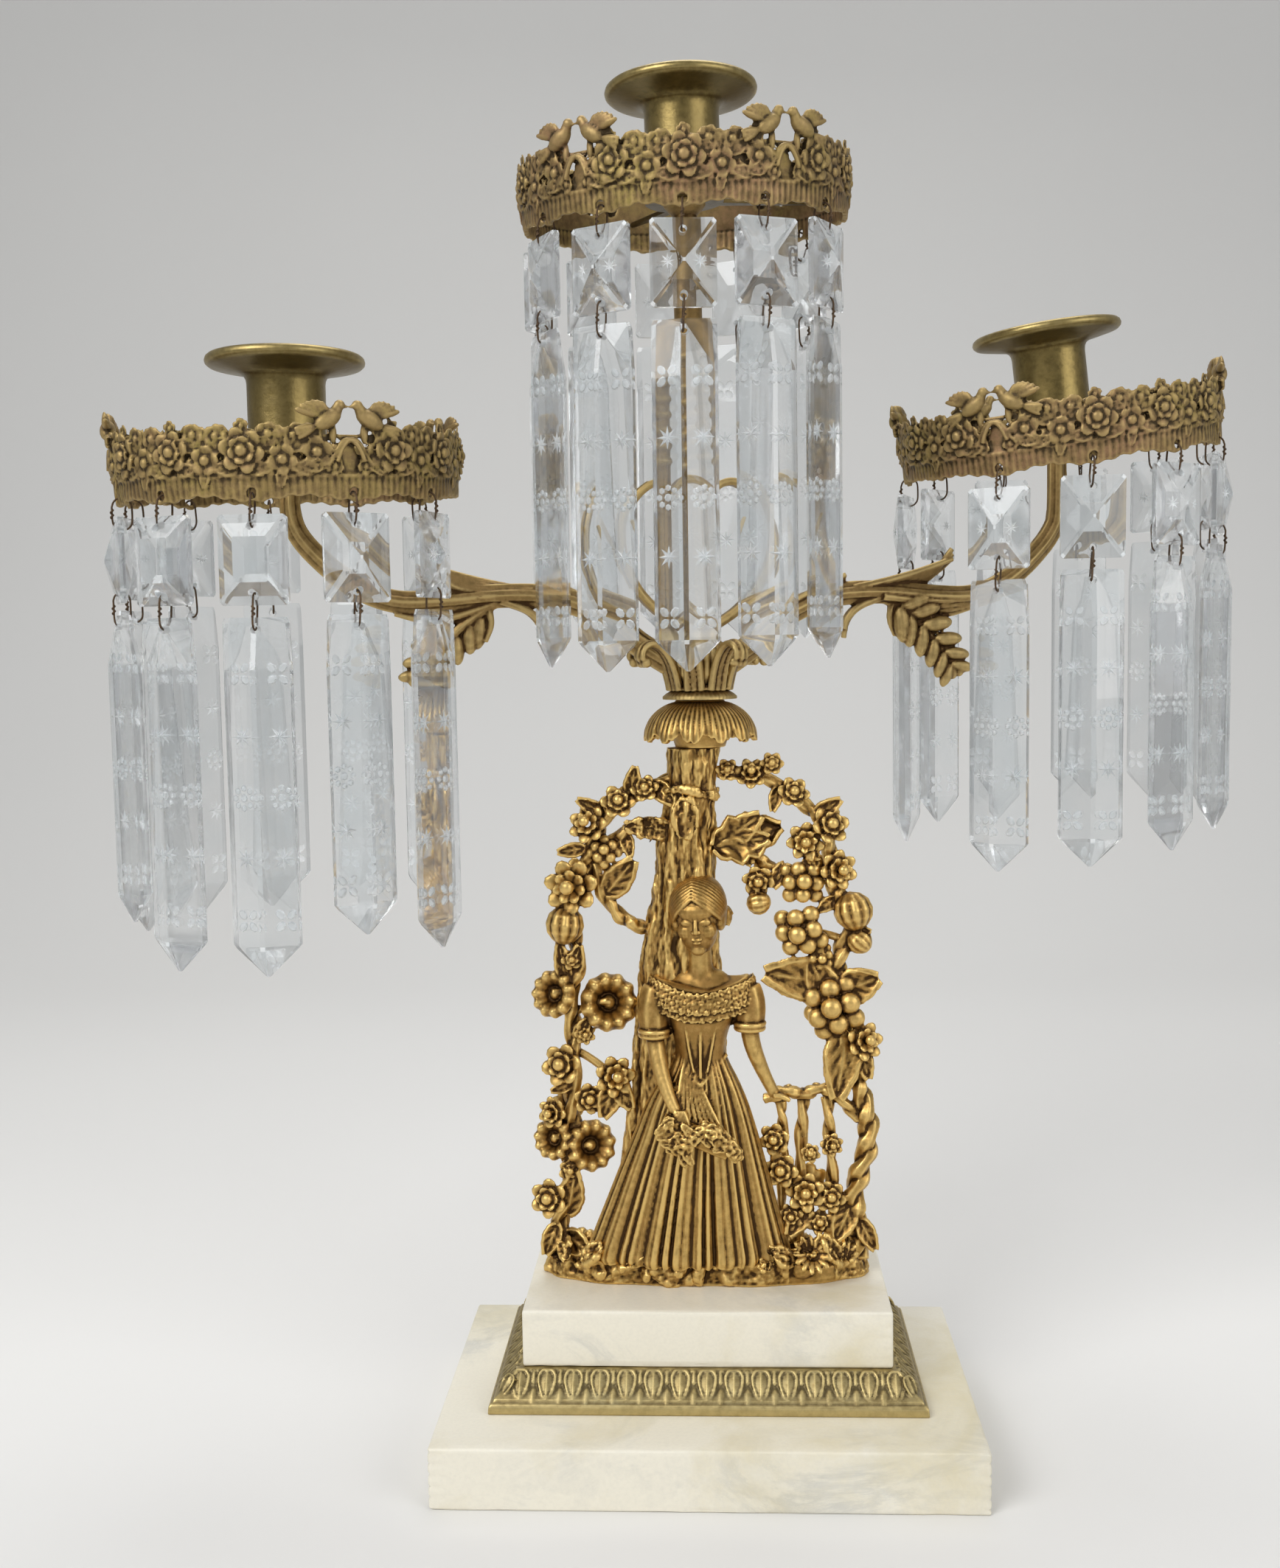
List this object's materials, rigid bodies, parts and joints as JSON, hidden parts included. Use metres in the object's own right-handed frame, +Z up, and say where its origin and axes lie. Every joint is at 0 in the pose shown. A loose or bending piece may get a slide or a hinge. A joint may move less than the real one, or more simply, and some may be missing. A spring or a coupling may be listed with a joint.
{
  "type": "girandole candle holder",
  "caption": "Girandole candle holder: marble plinth, cast figure under a flowering arbor, turning branches with pierced crowns, drip-pan nozzles and swinging cut-glass drops.",
  "frame": {"origin": "on the stem axis, in the plane of the table under the lower slab", "axes": "+Z up along the stem, -Y toward the front of the figure, +X to the figure group's right as seen from the front"},
  "size_m": [0.3722, 0.1752, 0.4515],
  "materials": {
    "marble_lower": "satin",
    "marble_upper": "satin",
    "moulding_brass": "satin",
    "cast_bronze": "satin",
    "cast_brass_collar": "satin",
    "iron_rod": "matte",
    "iron_washer": "matte",
    "iron_nut": "matte",
    "hub_brass": "satin",
    "leaf_brass": "satin",
    "left_arm_brass": "satin",
    "right_arm_brass": "satin",
    "stem_brass": "satin",
    "scroll_brass": "satin",
    "left_crown_brass": "satin",
    "left_spider_brass": "satin",
    "left_nozzle_brass": "satin",
    "right_crown_brass": "satin",
    "right_spider_brass": "satin",
    "right_nozzle_brass": "satin",
    "top_crown_brass": "satin",
    "top_spider_brass": "satin",
    "top_nozzle_brass": "satin",
    "glass_left_01": "gloss",
    "glass_left_02": "gloss",
    "glass_left_03": "gloss",
    "glass_left_04": "gloss",
    "glass_left_05": "gloss",
    "glass_left_06": "gloss",
    "glass_left_07": "gloss",
    "glass_left_08": "gloss",
    "glass_left_09": "gloss",
    "glass_left_10": "gloss",
    "glass_right_01": "gloss",
    "glass_right_02": "gloss",
    "glass_right_03": "gloss",
    "glass_right_04": "gloss",
    "glass_right_05": "gloss",
    "glass_right_06": "gloss",
    "glass_right_07": "gloss",
    "glass_right_08": "gloss",
    "glass_right_09": "gloss",
    "glass_right_10": "gloss",
    "glass_top_01": "gloss",
    "glass_top_02": "gloss",
    "glass_top_03": "gloss",
    "glass_top_04": "gloss",
    "glass_top_05": "gloss",
    "glass_top_06": "gloss",
    "glass_top_07": "gloss",
    "glass_top_08": "gloss",
    "glass_top_09": "gloss",
    "glass_top_10": "gloss"
  },
  "bodies": {
    "stand": {"lower_slab": "marble_lower", "base_moulding": "moulding_brass", "upper_slab": "marble_upper", "figure_casting": "cast_bronze", "leaf_collar": "cast_brass_collar", "tie_rod": "iron_rod", "base_washer": "iron_washer", "base_nut": "iron_nut"},
    "branches": {"branch_hub": "hub_brass", "hub_leaves": "leaf_brass", "left_arm": "left_arm_brass", "right_arm": "right_arm_brass", "centre_stem": "stem_brass", "stem_scrolls": "scroll_brass", "left_crown": "left_crown_brass", "right_crown": "right_crown_brass", "top_crown": "top_crown_brass", "left_spider": "left_spider_brass", "right_spider": "right_spider_brass", "top_spider": "top_spider_brass", "left_nozzle": "left_nozzle_brass", "right_nozzle": "right_nozzle_brass", "top_nozzle": "top_nozzle_brass"},
    "drop_left_01": {"drop_left_01": "glass_left_01"},
    "drop_left_02": {"drop_left_02": "glass_left_02"},
    "drop_left_03": {"drop_left_03": "glass_left_03"},
    "drop_left_04": {"drop_left_04": "glass_left_04"},
    "drop_left_05": {"drop_left_05": "glass_left_05"},
    "drop_left_06": {"drop_left_06": "glass_left_06"},
    "drop_left_07": {"drop_left_07": "glass_left_07"},
    "drop_left_08": {"drop_left_08": "glass_left_08"},
    "drop_left_09": {"drop_left_09": "glass_left_09"},
    "drop_left_10": {"drop_left_10": "glass_left_10"},
    "drop_right_01": {"drop_right_01": "glass_right_01"},
    "drop_right_02": {"drop_right_02": "glass_right_02"},
    "drop_right_03": {"drop_right_03": "glass_right_03"},
    "drop_right_04": {"drop_right_04": "glass_right_04"},
    "drop_right_05": {"drop_right_05": "glass_right_05"},
    "drop_right_06": {"drop_right_06": "glass_right_06"},
    "drop_right_07": {"drop_right_07": "glass_right_07"},
    "drop_right_08": {"drop_right_08": "glass_right_08"},
    "drop_right_09": {"drop_right_09": "glass_right_09"},
    "drop_right_10": {"drop_right_10": "glass_right_10"},
    "drop_top_01": {"drop_top_01": "glass_top_01"},
    "drop_top_02": {"drop_top_02": "glass_top_02"},
    "drop_top_03": {"drop_top_03": "glass_top_03"},
    "drop_top_04": {"drop_top_04": "glass_top_04"},
    "drop_top_05": {"drop_top_05": "glass_top_05"},
    "drop_top_06": {"drop_top_06": "glass_top_06"},
    "drop_top_07": {"drop_top_07": "glass_top_07"},
    "drop_top_08": {"drop_top_08": "glass_top_08"},
    "drop_top_09": {"drop_top_09": "glass_top_09"},
    "drop_top_10": {"drop_top_10": "glass_top_10"}
  },
  "joints": [
    {"name": "branch_swivel", "type": "hinge", "parent": "stand", "child": "branches", "pos_m": [0, 0, 0.2505], "axis": [0, 0, 1], "range_deg": [-45, 45]},
    {"name": "swing_left_01", "type": "hinge", "parent": "branches", "child": "drop_left_01", "pos_m": [-0.09469, 0.01062, 0.32082], "axis": [0.7547, -0.6561, 0], "range_deg": [-2.5, 8]},
    {"name": "swing_left_02", "type": "hinge", "parent": "branches", "child": "drop_left_02", "pos_m": [-0.12127, 0.02299, 0.32168], "axis": [0.9877, -0.1564, 0], "range_deg": [-3, 20]},
    {"name": "swing_left_03", "type": "hinge", "parent": "branches", "child": "drop_left_03", "pos_m": [-0.15038, 0.01942, 0.32143], "axis": [0.9205, 0.3907, 0], "range_deg": [-3, 20]},
    {"name": "swing_left_04", "type": "hinge", "parent": "branches", "child": "drop_left_04", "pos_m": [-0.17317, 0.00101, 0.32015], "axis": [0.5736, 0.8192, 0], "range_deg": [-3, 20]},
    {"name": "swing_left_05", "type": "hinge", "parent": "branches", "child": "drop_left_05", "pos_m": [-0.18272, -0.02665, 0.31821], "axis": [0.0523, 0.9986, 0], "range_deg": [-3, 20]},
    {"name": "swing_left_06", "type": "hinge", "parent": "branches", "child": "drop_left_06", "pos_m": [-0.17612, -0.05516, 0.31622], "axis": [-0.4848, 0.8746, 0], "range_deg": [-3, 20]},
    {"name": "swing_left_07", "type": "hinge", "parent": "branches", "child": "drop_left_07", "pos_m": [-0.15538, -0.07585, 0.31477], "axis": [-0.8746, 0.4848, 0], "range_deg": [-3, 20]},
    {"name": "swing_left_08", "type": "hinge", "parent": "branches", "child": "drop_left_08", "pos_m": [-0.12681, -0.08243, 0.31431], "axis": [-0.9986, -0.0523, 0], "range_deg": [-3, 20]},
    {"name": "swing_left_09", "type": "hinge", "parent": "branches", "child": "drop_left_09", "pos_m": [-0.09908, -0.0729, 0.31498], "axis": [-0.8192, -0.5736, 0], "range_deg": [-3, 20]},
    {"name": "swing_left_10", "type": "hinge", "parent": "branches", "child": "drop_left_10", "pos_m": [-0.08062, -0.05017, 0.31657], "axis": [-0.3907, -0.9205, 0], "range_deg": [-2.5, 8]},
    {"name": "swing_right_01", "type": "hinge", "parent": "branches", "child": "drop_right_01", "pos_m": [0.09722, -0.01489, 0.32383], "axis": [-0.8387, 0.5446, 0], "range_deg": [-3, 20]},
    {"name": "swing_right_02", "type": "hinge", "parent": "branches", "child": "drop_right_02", "pos_m": [0.12515, -0.02347, 0.32633], "axis": [-0.9998, 0.0175, 0], "range_deg": [-3, 20]},
    {"name": "swing_right_03", "type": "hinge", "parent": "branches", "child": "drop_right_03", "pos_m": [0.15321, -0.01596, 0.33043], "axis": [-0.8572, -0.515, 0], "range_deg": [-3, 20]},
    {"name": "swing_right_04", "type": "hinge", "parent": "branches", "child": "drop_right_04", "pos_m": [0.17285, 0.00536, 0.33488], "axis": [-0.454, -0.891, 0], "range_deg": [-3, 20]},
    {"name": "swing_right_05", "type": "hinge", "parent": "branches", "child": "drop_right_05", "pos_m": [0.17812, 0.034, 0.33832], "axis": [0.0872, -0.9962, 0], "range_deg": [-3, 20]},
    {"name": "swing_right_06", "type": "hinge", "parent": "branches", "child": "drop_right_06", "pos_m": [0.16742, 0.06127, 0.33972], "axis": [0.6018, -0.7986, 0], "range_deg": [-3, 20]},
    {"name": "swing_right_07", "type": "hinge", "parent": "branches", "child": "drop_right_07", "pos_m": [0.14399, 0.07887, 0.33864], "axis": [0.9336, -0.3584, 0], "range_deg": [-3, 20]},
    {"name": "swing_right_08", "type": "hinge", "parent": "branches", "child": "drop_right_08", "pos_m": [0.11495, 0.08147, 0.33542], "axis": [0.9816, 0.1908, 0], "range_deg": [-3, 20]},
    {"name": "swing_right_09", "type": "hinge", "parent": "branches", "child": "drop_right_09", "pos_m": [0.08914, 0.06826, 0.33103], "axis": [0.7314, 0.682, 0], "range_deg": [-2.5, 8]},
    {"name": "swing_right_10", "type": "hinge", "parent": "branches", "child": "drop_right_10", "pos_m": [0.07439, 0.04326, 0.32681], "axis": [0.2588, 0.9659, 0], "range_deg": [-2.5, 8]},
    {"name": "swing_top_01", "type": "hinge", "parent": "branches", "child": "drop_top_01", "pos_m": [-0.04689, -0.02885, 0.40298], "axis": [-0.5592, 0.829, 0], "range_deg": [-2.5, 8]},
    {"name": "swing_top_02", "type": "hinge", "parent": "branches", "child": "drop_top_02", "pos_m": [-0.02773, -0.04598, 0.40158], "axis": [-0.8829, 0.4695, 0], "range_deg": [-3, 20]},
    {"name": "swing_top_03", "type": "hinge", "parent": "branches", "child": "drop_top_03", "pos_m": [-0.00274, -0.05218, 0.40145], "axis": [-1, 0, 0], "range_deg": [-3, 20]},
    {"name": "swing_top_04", "type": "hinge", "parent": "branches", "child": "drop_top_04", "pos_m": [0.02221, -0.04598, 0.40262], "axis": [-0.8829, -0.4695, 0], "range_deg": [-3, 20]},
    {"name": "swing_top_05", "type": "hinge", "parent": "branches", "child": "drop_top_05", "pos_m": [0.0413, -0.02885, 0.40482], "axis": [-0.5592, -0.829, 0], "range_deg": [-2.5, 8]},
    {"name": "swing_top_06", "type": "hinge", "parent": "branches", "child": "drop_top_06", "pos_m": [0.03781, 0.03474, 0.41144], "axis": [0.6428, -0.766, 0], "range_deg": [-2.5, 8]},
    {"name": "swing_top_07", "type": "hinge", "parent": "branches", "child": "drop_top_07", "pos_m": [0.01522, 0.05045, 0.41261], "axis": [0.9397, -0.342, 0], "range_deg": [-3, 20]},
    {"name": "swing_top_08", "type": "hinge", "parent": "branches", "child": "drop_top_08", "pos_m": [-0.01221, 0.05284, 0.41229], "axis": [0.9848, 0.1736, 0], "range_deg": [-3, 20]},
    {"name": "swing_top_09", "type": "hinge", "parent": "branches", "child": "drop_top_09", "pos_m": [-0.03714, 0.04126, 0.41055], "axis": [0.766, 0.6428, 0], "range_deg": [-3, 20]},
    {"name": "swing_top_10", "type": "hinge", "parent": "branches", "child": "drop_top_10", "pos_m": [-0.05288, 0.01883, 0.40786], "axis": [0.342, 0.9397, 0], "range_deg": [-2.5, 8]}
  ]
}
